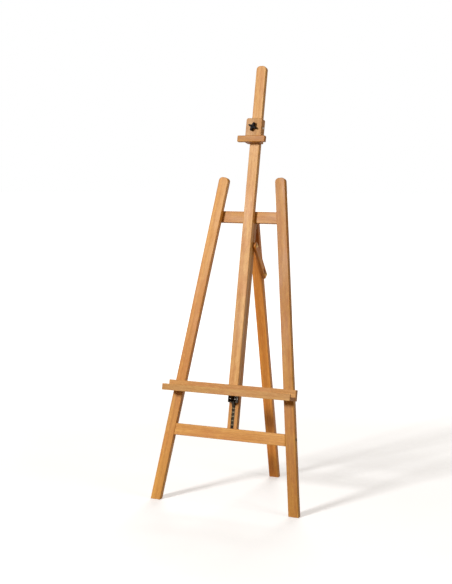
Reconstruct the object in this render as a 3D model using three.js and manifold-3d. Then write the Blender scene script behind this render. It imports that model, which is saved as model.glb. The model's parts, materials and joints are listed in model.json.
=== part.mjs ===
// Studio easel: two splayed front legs, a fixed centre rail with a ratchet rack, a sliding mast that
// carries the canvas tray, a canvas clamp on the mast, and a folding rear leg held by a slotted stay.
//
// Units are millimetres, +Z is up, +X is the easel's right side and +Y is its back.
// Most pieces are drawn in the "leaning" axes of the front frame: x across, b back from the front
// faces of the legs, and s up along the legs. The leaning group tilts them all back together.
import * as THREE from 'three';
import { mergeVertices } from 'three/addons/utils/BufferGeometryUtils.js';
import Module from 'manifold-3d';

const wasm = await Module();
wasm.setup();

// ---------------------------------------------------------------- driving dimensions
const GAP = 0.3;                          // between pieces that touch
const LEAN = THREE.MathUtils.degToRad(11.7);

const STOCK_WIDTH = 45;                   // legs, mast, rail and rear leg
const STOCK_DEPTH = 25;
const EDGE_ROUND = 2.5;                   // rounded long edges of the wood
const TOP_ROUND = 17;                     // rounded tops of the legs and the mast

const FOOT_HALF_SPAN = 344;               // to the outer edge of a leg at the floor
const TOP_HALF_SPAN = 153;                // to the outer edge of a leg at its top
const LEG_LENGTH = 1420;

const CROSSBAR_HEIGHT = 50;
const LOWER_CROSSBAR_S = 285;             // lower edges of the crossbars
const TOP_CROSSBAR_S = 1222;
const TOP_CROSSBAR_HALF = 160;

const MAST_BOTTOM_S = 476;
const MAST_TOP_S = 1910;

const TRAY_S = 474;                       // underside of the tray
const TRAY_LENGTH = 590;
const TRAY_BOARD = { thick: 20, height: 47 };
const TRAY_SHELF = { depth: 53.4, height: 16 };
const TRAY_LIP = { thick: 10, height: 27.5 };

const RACK_PITCH = 18;
const RACK_LEDGE_S = 425;                 // the ledge that the pawl rests on
const RACK_HALF_WIDTH = 7.3;
const RACK_TEETH = { below: 4, above: 20 };

const PAWL_PIVOT = { b: 10, s: 462 };

const CLAMP = { half: 36.5, bottom: 1564.5, top: 1672, front: -26, back: 11 };
const CLAMP_SCREW_S = 1632;
const LEDGE = { half: 64, height: 27, thick: 18.7, round: 3.2 };
const KNOB_RADIUS = 19.5;

const HINGE = { b: 54, s: 1232, barrel: 3.2, half: 19, leafHeight: 30, leafThick: 1.8 };
const REAR_FOOT_Y = 569;                  // where a line down the rear leg from the hinge meets the floor
const STAY = { pivotS: 1125, thick: 12, half: 15, x: 24.3 };
const PEG_DROP = 241;                     // from the hinge down the rear leg
const PEG_RADIUS = 3;
const FOLD_ANGLE = THREE.MathUtils.degToRad(23);

// ---------------------------------------------------------------- materials
function finish(color, roughness, metalness) {
  return new THREE.MeshStandardMaterial({ color, roughness, metalness });
}

const beech = finish(0xd6a268, 0.55, 0);
const blackSteel = finish(0x24211f, 0.45, 0.8);
const zincSteel = finish(0xa9a79f, 0.35, 1);
const brass = finish(0xb08d45, 0.35, 1);
const blackPlastic = finish(0x161514, 0.4, 0);

// ---------------------------------------------------------------- solids
function solid(geometry) {
  const bare = geometry.index ? geometry.toNonIndexed() : geometry.clone();
  bare.deleteAttribute('normal');
  bare.deleteAttribute('uv');
  const merged = mergeVertices(bare, 1e-4);
  return new wasm.Manifold(new wasm.Mesh({
    numProp: 3,
    vertProperties: new Float32Array(merged.attributes.position.array),
    triVerts: new Uint32Array(merged.index.array),
  }));
}

function geometryOf(manifold) {
  const mesh = manifold.getMesh();
  const geometry = new THREE.BufferGeometry();
  geometry.setAttribute('position', new THREE.BufferAttribute(new Float32Array(mesh.vertProperties), 3));
  geometry.setIndex(new THREE.BufferAttribute(new Uint32Array(mesh.triVerts), 1));
  geometry.computeVertexNormals();
  return geometry;
}

function cut(body, ...tools) {
  return geometryOf(tools.reduce((rest, tool) => rest.subtract(solid(tool)), solid(body)));
}

function join(body, ...others) {
  return geometryOf(others.reduce((sum, other) => sum.add(solid(other)), solid(body)));
}

function box(x0, x1, b0, b1, s0, s1) {
  const geometry = new THREE.BoxGeometry(x1 - x0, b1 - b0, s1 - s0);
  return geometry.translate((x0 + x1) / 2, (b0 + b1) / 2, (s0 + s1) / 2);
}

// A round bar between two stations along one axis: 'x', 'b' or 's'. The other two coordinates are
// given in the order x, b, s.
function rod(axis, from, to, [p, q], radius, sides = 12) {
  const geometry = new THREE.CylinderGeometry(radius, radius, Math.abs(to - from), sides);
  const middle = (from + to) / 2;
  if (axis === 'x') return geometry.rotateZ(Math.PI / 2).translate(middle, p, q);
  if (axis === 'b') return geometry.translate(p, middle, q);
  return geometry.rotateX(Math.PI / 2).translate(p, q, middle);
}

// Extrudes an outline drawn in x and s through the depth b0 to b1, with its edges rounded. `arc` is
// half the number of steps in each rounded corner of the outline.
function slab(shape, b0, b1, round = EDGE_ROUND, arc = 2) {
  const geometry = new THREE.ExtrudeGeometry(shape, {
    depth: b1 - b0 - 2 * round,
    bevelEnabled: round > 0,
    bevelThickness: round,
    bevelSize: round,
    bevelOffset: -round,
    bevelSegments: 2,
    curveSegments: arc,
  });
  return geometry.rotateX(Math.PI / 2).translate(0, b1 - round, 0);
}

// Extrudes an outline drawn in b and s through the width x0 to x1.
function sidePlate(shape, x0, x1, round = 0) {
  const geometry = new THREE.ExtrudeGeometry(shape, {
    depth: x1 - x0 - 2 * round,
    bevelEnabled: round > 0,
    bevelThickness: round,
    bevelSize: round,
    bevelOffset: -round,
    bevelSegments: 1,
    curveSegments: 4,
  });
  return geometry.rotateX(Math.PI / 2).rotateZ(Math.PI / 2).translate(x0 + round, 0, 0);
}

function polygon(...points) {
  return new THREE.Shape(points.map(([x, y]) => new THREE.Vector2(x, y)));
}

// A rectangle whose corners are rounded: radius for the upper pair, and for the lower pair.
function roundedRect(x0, x1, y0, y1, upper, lower = upper) {
  const shape = new THREE.Shape();
  shape.moveTo(x0 + lower, y0);
  shape.lineTo(x1 - lower, y0);
  if (lower > 0) shape.absarc(x1 - lower, y0 + lower, lower, -Math.PI / 2, 0);
  shape.lineTo(x1, y1 - upper);
  if (upper > 0) shape.absarc(x1 - upper, y1 - upper, upper, 0, Math.PI / 2);
  shape.lineTo(x0 + upper, y1);
  if (upper > 0) shape.absarc(x0 + upper, y1 - upper, upper, Math.PI / 2, Math.PI);
  shape.lineTo(x0, y0 + lower);
  if (lower > 0) shape.absarc(x0 + lower, y0 + lower, lower, Math.PI, 1.5 * Math.PI);
  return shape;
}

// A turned screw or bolt along -axis: a domed head that ends at `seat`, and its shank to `tip`.
function screwProfile(headRadius, headHeight, shankRadius, length) {
  const dome = headHeight * 0.35;
  return [
    new THREE.Vector2(0, -length),
    new THREE.Vector2(shankRadius, -length + shankRadius * 1.5),
    new THREE.Vector2(shankRadius, 0),
    new THREE.Vector2(headRadius, 0),
    new THREE.Vector2(headRadius, headHeight - dome),
    new THREE.Vector2(headRadius * 0.75, headHeight - dome * 0.3),
    new THREE.Vector2(0, headHeight),
  ];
}

// The screw's head faces along `toward` (a unit vector), and `seat` is the underside of the head.
function screw(seat, toward, { head = 4.5, headHeight = 2.2, shank = 2, length = 30 } = {}) {
  const geometry = new THREE.LatheGeometry(screwProfile(head, headHeight, shank, length), 10);
  const turn = new THREE.Quaternion();
  turn.setFromUnitVectors(new THREE.Vector3(0, 1, 0), new THREE.Vector3(...toward));
  return geometry.applyQuaternion(turn).translate(...seat);
}

// ---------------------------------------------------------------- assembly groups
const easel = new THREE.Group();
const leaning = new THREE.Group();
leaning.rotation.x = -LEAN;
const rearAxes = new THREE.Group();
const stayAxes = new THREE.Group();
easel.add(leaning, rearAxes, stayAxes);

function piece(group, name, geometry, material) {
  const mesh = new THREE.Mesh(geometry, material);
  mesh.name = name;
  group.add(mesh);
  return mesh;
}

const toWorld = (b, s) => ({
  y: b * Math.cos(LEAN) + s * Math.sin(LEAN),
  z: -b * Math.sin(LEAN) + s * Math.cos(LEAN),
});

// ---------------------------------------------------------------- front legs and crossbars
const legOuter = (s) => FOOT_HALF_SPAN + (TOP_HALF_SPAN - FOOT_HALF_SPAN) * s / LEG_LENGTH;
const splay = Math.atan2(FOOT_HALF_SPAN - TOP_HALF_SPAN, LEG_LENGTH);
const legInner = (s) => legOuter(s) - STOCK_WIDTH / Math.cos(splay);
const halfWidth = STOCK_WIDTH / 2;

const CROSSBAR_BOLT = { s: LOWER_CROSSBAR_S + 31, b: STOCK_DEPTH / 2, radius: 3, head: 6.5 };
const boltSeatX = legOuter(CROSSBAR_BOLT.s) - 4;
const barrelNutX = legInner(CROSSBAR_BOLT.s) - 35;
const TOP_SCREW = { x: 147, offset: 13, tip: 8 };

// The space under the floor, in the leaning axes: it cuts the feet level.
function underFloor() {
  const block = new THREE.BoxGeometry(2000, 400, 100);
  return block.translate(0, 0, -50).rotateX(LEAN);
}

function frontLeg(side) {
  const overrun = 12;
  const length = Math.hypot(LEG_LENGTH, FOOT_HALF_SPAN - TOP_HALF_SPAN);
  const outline = roundedRect(-STOCK_WIDTH, 0, -overrun, length, TOP_ROUND, 0);
  const leg = slab(outline, 0, STOCK_DEPTH, EDGE_ROUND, 4).rotateY(-splay).translate(FOOT_HALF_SPAN, 0, 0);
  const { s, b, radius, head } = CROSSBAR_BOLT;
  const cuts = [
    underFloor(),
    rod('x', boltSeatX - GAP, boltSeatX + 20, [b, s], head + 0.8),
    rod('x', legInner(s) - 20, boltSeatX + 1, [b, s], radius + GAP),
  ];
  for (const offset of [-TOP_SCREW.offset, TOP_SCREW.offset]) {
    const screwS = TOP_CROSSBAR_S + CROSSBAR_HEIGHT / 2 + offset;
    cuts.push(rod('b', TOP_SCREW.tip - 1, STOCK_DEPTH + 5, [TOP_SCREW.x, screwS], 2 + GAP, 8));
  }
  const right = cut(leg, ...cuts);
  return side > 0 ? right : mirrored(right);
}

// Mirrors a geometry left to right and turns its faces the right way out again.
function mirrored(geometry) {
  const copy = geometry.clone().applyMatrix4(new THREE.Matrix4().makeScale(-1, 1, 1));
  const index = copy.index.array;
  for (let i = 0; i < index.length; i += 3) [index[i], index[i + 1]] = [index[i + 1], index[i]];
  copy.computeVertexNormals();
  return copy;
}

const RAIL_FRONT = STOCK_DEPTH + GAP;
const RAIL_BACK = RAIL_FRONT + STOCK_DEPTH;
const RAIL_BOTTOM_S = LOWER_CROSSBAR_S + 3;
const RAIL_SCREW_S = [LOWER_CROSSBAR_S + 13, LOWER_CROSSBAR_S + 37];
const DOWEL = { radius: 6, reach: 22 };

function lowerCrossbar() {
  const top = LOWER_CROSSBAR_S + CROSSBAR_HEIGHT;
  const low = legInner(LOWER_CROSSBAR_S) - GAP;
  const high = legInner(top) - GAP;
  const outline = polygon([-low, LOWER_CROSSBAR_S], [low, LOWER_CROSSBAR_S], [high, top], [-high, top]);
  const { s, b, radius } = CROSSBAR_BOLT;
  const cuts = [];
  for (const side of [-1, 1]) {
    cuts.push(rod('x', side * (barrelNutX - 6), side * (low + 10), [b, s], radius + GAP));
    cuts.push(rod('b', 4, STOCK_DEPTH + 5, [side * barrelNutX, s], 5 + GAP));
  }
  for (const screwS of RAIL_SCREW_S) cuts.push(rod('b', 7, STOCK_DEPTH + 5, [0, screwS], 2 + GAP, 8));
  return cut(slab(outline, 0, STOCK_DEPTH), ...cuts);
}

function barrelNut(side) {
  const { s, b, radius } = CROSSBAR_BOLT;
  const nut = rod('b', 4.5, STOCK_DEPTH - 2, [side * barrelNutX, s], 5);
  return cut(nut, rod('x', side * barrelNutX - 10, side * barrelNutX + 10, [b, s], radius + GAP));
}

function topCrossbar() {
  const top = TOP_CROSSBAR_S + CROSSBAR_HEIGHT;
  const middle = TOP_CROSSBAR_S + CROSSBAR_HEIGHT / 2;
  const outline = roundedRect(-TOP_CROSSBAR_HALF, TOP_CROSSBAR_HALF, TOP_CROSSBAR_S, top, 4);
  const dowelTop = TOP_CROSSBAR_S + DOWEL.reach + 1;
  const cuts = [rod('s', TOP_CROSSBAR_S - 5, dowelTop, [0, dowelB], DOWEL.radius + GAP)];
  for (const side of [-1, 1]) {
    const hingeScrew = [side * HINGE_SCREW.x, HINGE.s + HINGE_SCREW.offset];
    for (const offset of [-TOP_SCREW.offset, TOP_SCREW.offset]) {
      cuts.push(rod('b', RAIL_FRONT - 5, RAIL_BACK + 5, [side * TOP_SCREW.x, middle + offset], 2 + GAP, 8));
    }
    cuts.push(rod('b', RAIL_BACK - 15, RAIL_BACK + 5, hingeScrew, 1.8 + GAP, 8));
  }
  return cut(slab(outline, RAIL_FRONT, RAIL_BACK), ...cuts);
}

// ---------------------------------------------------------------- centre rail and rack
const dowelB = (RAIL_FRONT + RAIL_BACK) / 2;
const HINGE_SCREW = { x: 12, offset: 20 };
const RACK_BASE = { front: RAIL_FRONT + 4.2, back: RAIL_FRONT + 6.2 };
const RACK_TIP = RAIL_FRONT + 0.7;
const RACK_END = 18;                      // bare strip past the first and the last ledge
const LEDGE_FALL = 1.2;                   // from a ledge's root to its tip
const rackBottom = RACK_LEDGE_S - RACK_TEETH.below * RACK_PITCH - RACK_END;
const rackTop = RACK_LEDGE_S + RACK_TEETH.above * RACK_PITCH + RACK_END;

function centreRail() {
  const outline = roundedRect(-halfWidth, halfWidth, RAIL_BOTTOM_S, TOP_CROSSBAR_S - GAP, 0);
  const groove = RACK_HALF_WIDTH + GAP;
  const cuts = [
    box(-groove, groove, RAIL_FRONT - 5, RACK_BASE.back + GAP, rackBottom - GAP, rackTop + GAP),
    rod('s', TOP_CROSSBAR_S - DOWEL.reach - 1, TOP_CROSSBAR_S + 5, [0, dowelB], DOWEL.radius + GAP),
    rod('x', halfWidth - 28, halfWidth + 5, [dowelB, STAY.pivotS], PEG_RADIUS + GAP),
  ];
  for (const screwS of RAIL_SCREW_S) {
    cuts.push(rod('b', RAIL_FRONT - 5, RAIL_BACK + 5, [0, screwS], 2 + GAP, 8));
  }
  return cut(slab(outline, RAIL_FRONT, RAIL_BACK), ...cuts);
}

// Saw teeth: each has a ledge that falls to the front as the pawl's tip does when it swings out, a
// short flat tip and a slope down to the strip.
function rack() {
  const points = [[RACK_BASE.back, rackBottom], [RACK_BASE.back, rackTop], [RACK_BASE.front, rackTop]];
  for (let tooth = RACK_TEETH.above; tooth >= -RACK_TEETH.below; tooth--) {
    const ledge = RACK_LEDGE_S + tooth * RACK_PITCH;
    points.push([RACK_BASE.front, ledge], [RACK_TIP, ledge - LEDGE_FALL]);
    points.push([RACK_TIP, ledge - 5], [RACK_BASE.front, ledge - 12]);
  }
  points.push([RACK_BASE.front, rackBottom]);
  return sidePlate(polygon(...points.reverse()), -RACK_HALF_WIDTH, RACK_HALF_WIDTH);
}

// ---------------------------------------------------------------- mast, tray and ratchet
const MAST_BACK = STOCK_DEPTH - 0.5;
const YOKE = { s0: 482, s1: 514, inner: halfWidth + 0.4, thick: 2, front: 3, back: RAIL_BACK + 0.6 };
const yokeScrewB = 12;
const yokeScrewS = (YOKE.s0 + YOKE.s1) / 2;
const BOARD_SCREWS = [[0, TRAY_S + 12], [0, TRAY_S + 37]];
const HOUSING = { half: 19, thick: 2, front: 1.5, back: 24, bottom: 446, top: MAST_BOTTOM_S - GAP };
const housingScrewX = 12;

function mast() {
  const outline = roundedRect(-halfWidth, halfWidth, MAST_BOTTOM_S, MAST_TOP_S, TOP_ROUND, 0);
  const cuts = [];
  for (const side of [-1, 1]) {
    const housingScrew = [side * housingScrewX, MAST_BACK / 2];
    cuts.push(rod('x', side * 11, side * (halfWidth + 5), [yokeScrewB, yokeScrewS], 2 + GAP, 8));
    cuts.push(rod('s', MAST_BOTTOM_S - 5, MAST_BOTTOM_S + 21, housingScrew, 1.8 + GAP, 8));
  }
  for (const [x, s] of BOARD_SCREWS) {
    cuts.push(rod('b', -5, MAST_BACK + 5, [x, s], 1.8 + GAP, 8));
    cuts.push(rod('b', MAST_BACK - 2.6, MAST_BACK + 5, [x, s], 3.8 + GAP, 12));
  }
  return cut(slab(outline, 0, MAST_BACK, EDGE_ROUND, 4), ...cuts);
}

const boardBack = -GAP;
const boardFront = boardBack - TRAY_BOARD.thick;
const shelfFront = boardFront - GAP - TRAY_SHELF.depth;
const lipFront = shelfFront - GAP - TRAY_LIP.thick;

function trayStrip(b0, b1, height, bottom = TRAY_S) {
  const half = TRAY_LENGTH / 2;
  return slab(roundedRect(-half, half, bottom, bottom + height, 2), b0, b1, 1.8);
}

function trayBoard() {
  const holes = BOARD_SCREWS.map(([x, s]) => rod('b', boardFront + 5, boardBack + 5, [x, s], 1.8 + GAP, 8));
  return cut(trayStrip(boardFront, boardBack, TRAY_BOARD.height), ...holes);
}

// A strap bent round the rail, screwed to both sides of the mast: it keeps the mast on the rail.
function mastYoke() {
  const outer = YOKE.inner + YOKE.thick;
  const back = YOKE.back + YOKE.thick;
  const strap = box(-outer, outer, YOKE.front, back, YOKE.s0, YOKE.s1);
  const hollow = box(-YOKE.inner, YOKE.inner, YOKE.front - 5, YOKE.back, YOKE.s0 - 5, YOKE.s1 + 5);
  return cut(strap, hollow, rod('x', -outer - 5, outer + 5, [yokeScrewB, yokeScrewS], 2 + GAP, 8));
}

// An upside-down U under the end of the mast; the pawl swings between its two cheeks.
function ratchetHousing() {
  const { half, thick, front, back, bottom, top } = HOUSING;
  const inner = half - thick;
  const cheeks = box(-half, half, front, back, bottom, top);
  const cuts = [
    box(-inner, inner, front - 5, back + 5, bottom - 5, top - thick),
    rod('x', -half - 5, half + 5, [PAWL_PIVOT.b, PAWL_PIVOT.s], 2.5 + GAP),
  ];
  for (const side of [-1, 1]) {
    cuts.push(rod('s', top - 5, top + 5, [side * housingScrewX, MAST_BACK / 2], 1.8 + GAP, 8));
  }
  return cut(cheeks, ...cuts);
}

const PAWL_HALF_WIDTH = 6.4;
const PAWL_TIP = { b: RACK_BASE.front - 0.6, s: RACK_LEDGE_S + 0.5 };

// A prop that runs down from its pin to the rack's ledge, with a thumb tongue out to the front.
function pawl() {
  const { b, s } = PAWL_PIVOT;
  const shape = new THREE.Shape();
  shape.moveTo(PAWL_TIP.b, PAWL_TIP.s);
  shape.lineTo(PAWL_TIP.b, PAWL_TIP.s + 2);
  shape.lineTo(b + 7, s + 1);
  shape.absarc(b, s, 7, 0, Math.PI);
  shape.lineTo(b - 9, s - 5);
  shape.lineTo(b - 24, s - 13);
  shape.absarc(b - 24, s - 15, 2, Math.PI / 2, 1.5 * Math.PI);
  shape.lineTo(b - 8, s - 11.5);
  shape.lineTo(b - 2, s - 9);
  shape.lineTo(PAWL_TIP.b - 5.5, PAWL_TIP.s);
  const arm = sidePlate(shape, -PAWL_HALF_WIDTH, PAWL_HALF_WIDTH, 0.5);
  return cut(arm, rod('x', -20, 20, [b, s], 2.5 + 0.1));
}

function pawlSpring() {
  const { b, s } = PAWL_PIVOT;
  const coil = rod('x', PAWL_HALF_WIDTH + 0.8, PAWL_HALF_WIDTH + 8.2, [b, s], 4.8);
  return cut(coil, rod('x', 0, 20, [b, s], 3.4));
}

// ---------------------------------------------------------------- canvas clamp
const STIRRUP = { half: 10, inner: halfWidth + 0.5, thick: 2, front: -14, back: MAST_BACK + 0.6 };
const stirrupScrewB = -7;
const LEDGE_SCREW = { x: 14, s: CLAMP.bottom + LEDGE.height / 2 };
const INSERT = { radius: 5.5, b0: -20, b1: -5 };
const STUD_RADIUS = 3;
const PAD = { radius: 8, thick: 2 };

function clampBlock() {
  const { half, bottom, top, front, back } = CLAMP;
  const block = slab(roundedRect(-half, half, bottom, top, 9, 3), front, back, 2);
  const channel = halfWidth + 0.4;
  const slot = STIRRUP.inner + STIRRUP.thick + GAP;
  const cuts = [
    box(-channel, channel, -0.4, back + 5, bottom - 5, top + 5),
    rod('b', front - 5, 5, [0, CLAMP_SCREW_S], STUD_RADIUS + GAP),
    rod('b', INSERT.b0 - GAP, 5, [0, CLAMP_SCREW_S], INSERT.radius + GAP),
    rod('b', -0.4 - PAD.thick - GAP - 0.3, 5, [0, CLAMP_SCREW_S], PAD.radius + GAP),
    rod('x', -half - 5, half + 5, [stirrupScrewB, CLAMP_SCREW_S], 2 + GAP, 8),
  ];
  for (const side of [-1, 1]) {
    const [x0, x1] = side > 0 ? [STIRRUP.inner - GAP, slot] : [-slot, -STIRRUP.inner + GAP];
    const reach = STIRRUP.half + GAP;
    cuts.push(box(x0, x1, STIRRUP.front - GAP, back + 5, CLAMP_SCREW_S - reach, CLAMP_SCREW_S + reach));
    cuts.push(rod('b', front - 5, 5, [side * LEDGE_SCREW.x, LEDGE_SCREW.s], 1.8 + GAP, 8));
    cuts.push(rod('b', -3.2, 5, [side * LEDGE_SCREW.x, LEDGE_SCREW.s], 3.8 + GAP, 12));
  }
  return cut(block, ...cuts);
}

function clampLedge() {
  const { half, height, thick, round } = LEDGE;
  const back = CLAMP.front - GAP;
  const outline = roundedRect(-half, half, CLAMP.bottom, CLAMP.bottom + height, round);
  const bar = slab(outline, back - thick, back);
  const holes = [-1, 1].map((side) => {
    return rod('b', back - 13, back + 5, [side * LEDGE_SCREW.x, LEDGE_SCREW.s], 1.8 + GAP, 8);
  });
  return cut(bar, ...holes);
}

function clampStirrup() {
  const outer = STIRRUP.inner + STIRRUP.thick;
  const s0 = CLAMP_SCREW_S - STIRRUP.half;
  const s1 = CLAMP_SCREW_S + STIRRUP.half;
  const strap = box(-outer, outer, STIRRUP.front, STIRRUP.back + STIRRUP.thick, s0, s1);
  const hollow = box(-STIRRUP.inner, STIRRUP.inner, STIRRUP.front - 5, STIRRUP.back, s0 - 5, s1 + 5);
  return cut(strap, hollow, rod('x', -outer - 5, outer + 5, [stirrupScrewB, CLAMP_SCREW_S], 2 + GAP, 8));
}

function clampInsert() {
  const sleeve = rod('b', INSERT.b0, INSERT.b1, [0, CLAMP_SCREW_S], INSERT.radius);
  return cut(sleeve, rod('b', INSERT.b0 - 5, INSERT.b1 + 5, [0, CLAMP_SCREW_S], STUD_RADIUS + GAP));
}

// Four pointed lobes, from two waves of radius round the axis.
function clampKnob() {
  const steps = 48;
  const turn = THREE.MathUtils.degToRad(67);
  const points = [];
  for (let i = 0; i < steps; i++) {
    const angle = 2 * Math.PI * i / steps;
    const wave = 5.1 * (Math.cos(4 * (angle - turn)) - 1) + Math.cos(8 * (angle - turn)) - 1;
    const radius = KNOB_RADIUS + wave;
    points.push([radius * Math.cos(angle), CLAMP_SCREW_S + radius * Math.sin(angle)]);
  }
  const face = CLAMP.front - 5;
  const star = slab(polygon(...points), face - 13, face, 2);
  const hub = rod('b', face - 5, CLAMP.front - 0.6, [0, CLAMP_SCREW_S], 7.5, 16);
  return cut(join(star, hub), rod('b', face - 8, face + 20, [0, CLAMP_SCREW_S], STUD_RADIUS + GAP));
}

// ---------------------------------------------------------------- hinge, rear leg and stay
const hingeAt = toWorld(HINGE.b, HINGE.s);
const LEG_FACE = -HINGE.barrel + HINGE.leafThick + 0.1;    // rear leg's front face, from the pin's axis
const rearAngle = Math.atan2(REAR_FOOT_Y - hingeAt.y, hingeAt.z);
const rearLegY = [LEG_FACE, LEG_FACE + STOCK_DEPTH];
const pegY = LEG_FACE + STOCK_DEPTH / 2;
const knuckle = 2 * HINGE.half / 3;

rearAxes.position.set(0, hingeAt.y, hingeAt.z);
rearAxes.rotation.x = rearAngle;

// One leaf with its knuckles, drawn round the pin's axis. `up` is 1 for the leaf above the pin.
function hingeLeaf(up, knuckles) {
  const { barrel, half, leafHeight, leafThick } = HINGE;
  const leafBack = -barrel - 0.2 + leafThick;
  const plate = up > 0
    ? box(-half, half, -barrel - 0.2, leafBack, 0, leafHeight + 4)
    : box(-half, half, -barrel - 0.2, leafBack, -leafHeight - 4, 0);
  const rounds = knuckles.map(([x0, x1]) => rod('x', x0, x1, [0, 0], barrel));
  const other = [[-half, -knuckle / 2], [-knuckle / 2, knuckle / 2], [knuckle / 2, half]]
    .filter(([x0]) => !knuckles.some(([k0]) => Math.abs(k0 - x0) < 1));
  const notches = other.map(([x0, x1]) => rod('x', x0 - GAP, x1 + GAP, [0, 0], barrel + 0.8));
  const screws = [-1, 1].flatMap((side) => {
    const at = [side * HINGE_SCREW.x, up * HINGE_SCREW.offset];
    return [rod('b', -barrel - 5, 5, at, 1.8 + GAP, 8)];
  });
  const leaf = join(plate, ...rounds);
  return cut(leaf, ...notches, ...screws, rod('x', -half - 5, half + 5, [0, 0], 1.6 + 0.1));
}

const frameKnuckles = [[-HINGE.half, -knuckle / 2 - GAP], [knuckle / 2 + GAP, HINGE.half]];
const legKnuckles = [[-knuckle / 2, knuckle / 2]];

// The space under the floor, in the rear leg's own axes.
function underFloorRear() {
  const block = new THREE.BoxGeometry(400, 1000, 100).translate(0, 0, -50);
  return block.translate(0, 0, -hingeAt.z).rotateX(-rearAngle);
}

function rearLeg() {
  const length = hingeAt.z / Math.cos(rearAngle) + 20;
  const leg = slab(roundedRect(-halfWidth, halfWidth, -length, -HINGE.barrel - 1.2, 0), ...rearLegY);
  const cuts = [
    underFloorRear(),
    rod('x', halfWidth - 28, halfWidth + 5, [pegY, -PEG_DROP], PEG_RADIUS + GAP),
  ];
  for (const side of [-1, 1]) {
    cuts.push(rod('b', -10, 15, [side * HINGE_SCREW.x, -HINGE_SCREW.offset], 1.8 + GAP, 8));
  }
  return cut(leg, ...cuts);
}

// Where the peg sits, seen from the stay's pivot, when the rear leg is folded in by an angle.
function pegFromPivot(fold) {
  const angle = rearAngle - fold;
  const pivot = toWorld(dowelB, STAY.pivotS);
  const y = hingeAt.y + pegY * Math.cos(angle) + PEG_DROP * Math.sin(angle) - pivot.y;
  const z = hingeAt.z + pegY * Math.sin(angle) - PEG_DROP * Math.cos(angle) - pivot.z;
  return { reach: Math.hypot(y, z), angle: Math.atan2(y, -z) };
}

const pegOpen = pegFromPivot(0);
const pegFolded = pegFromPivot(FOLD_ANGLE);
const stayPivot = toWorld(dowelB, STAY.pivotS);
const SLOT_HALF = 5.6;

stayAxes.position.set(0, stayPivot.y, stayPivot.z);
stayAxes.rotation.x = pegOpen.angle;

// A flat bar with a round upper end, a pivot hole, and a slot that the peg slides along as the leg folds.
function stay() {
  const { half, thick, x } = STAY;
  const outline = roundedRect(-half, half, -pegOpen.reach - half, half, half, 4);
  const bar = sidePlate(outline, x, x + thick, 1.5);
  const slot = roundedRect(-SLOT_HALF, SLOT_HALF, -pegOpen.reach - PEG_RADIUS - GAP,
    -pegFolded.reach + SLOT_HALF + 0.5, SLOT_HALF - 0.1);
  const pivotHole = rod('x', x - 5, x + thick + 5, [0, 0], PEG_RADIUS + GAP);
  return cut(bar, pivotHole, sidePlate(slot, x - 5, x + thick + 5));
}

function washer(x0, x1, at, radius, hole) {
  return cut(rod('x', x0, x1, at, radius, 16), rod('x', x0 - 5, x1 + 5, at, hole));
}

// ---------------------------------------------------------------- the frame's pieces
for (const side of [-1, 1]) {
  const hand = side < 0 ? 'left' : 'right';
  piece(leaning, `front_leg_${hand}`, frontLeg(side), beech);
  const { s, b, radius, head } = CROSSBAR_BOLT;
  const size = { head, headHeight: 3, shank: radius, length: boltSeatX - barrelNutX + 4 };
  piece(leaning, `crossbar_bolt_${hand}`, screw([side * boltSeatX, b, s], [side, 0, 0], size), blackSteel);
  piece(leaning, `barrel_nut_${hand}`, barrelNut(side), brass);
  for (const [level, offset] of [['lower', -TOP_SCREW.offset], ['upper', TOP_SCREW.offset]]) {
    const seat = [side * TOP_SCREW.x, RAIL_BACK + GAP, TOP_CROSSBAR_S + CROSSBAR_HEIGHT / 2 + offset];
    const length = RAIL_BACK + GAP - TOP_SCREW.tip;
    piece(leaning, `top_screw_${hand}_${level}`, screw(seat, [0, 1, 0], { length }), zincSteel);
  }
}
piece(leaning, 'lower_crossbar', lowerCrossbar(), beech);
piece(leaning, 'top_crossbar', topCrossbar(), beech);
piece(leaning, 'centre_rail', centreRail(), beech);
piece(leaning, 'rail_dowel',
  rod('s', TOP_CROSSBAR_S - DOWEL.reach, TOP_CROSSBAR_S + DOWEL.reach, [0, dowelB], DOWEL.radius), beech);
RAIL_SCREW_S.forEach((s, i) => {
  const length = RAIL_BACK + GAP - TOP_SCREW.tip;
  piece(leaning, `rail_screw_${i + 1}`, screw([0, RAIL_BACK + GAP, s], [0, 1, 0], { length }), zincSteel);
});
piece(leaning, 'rack', rack(), blackSteel);

// ---------------------------------------------------------------- the mast's pieces
piece(leaning, 'mast', mast(), beech);
piece(leaning, 'tray_board', trayBoard(), beech);
piece(leaning, 'tray_shelf', trayStrip(shelfFront, boardFront - GAP, TRAY_SHELF.height), beech);
piece(leaning, 'tray_lip', trayStrip(lipFront, shelfFront - GAP, TRAY_LIP.height), beech);
piece(leaning, 'mast_yoke', mastYoke(), blackSteel);
piece(leaning, 'ratchet_housing', ratchetHousing(), blackSteel);
piece(leaning, 'ratchet_pawl', pawl(), blackSteel);
piece(leaning, 'pawl_spring', pawlSpring(), zincSteel);
piece(leaning, 'pawl_pin',
  rod('x', -HOUSING.half - 2, HOUSING.half + 2, [PAWL_PIVOT.b, PAWL_PIVOT.s], 2.5), zincSteel);
BOARD_SCREWS.forEach(([x, s], i) => {
  const seat = [x, MAST_BACK - 2.3, s];
  const size = { head: 3.8, headHeight: 1.8, shank: 1.8, length: 36 };
  piece(leaning, `tray_screw_${i + 1}`, screw(seat, [0, 1, 0], size), zincSteel);
});
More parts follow.
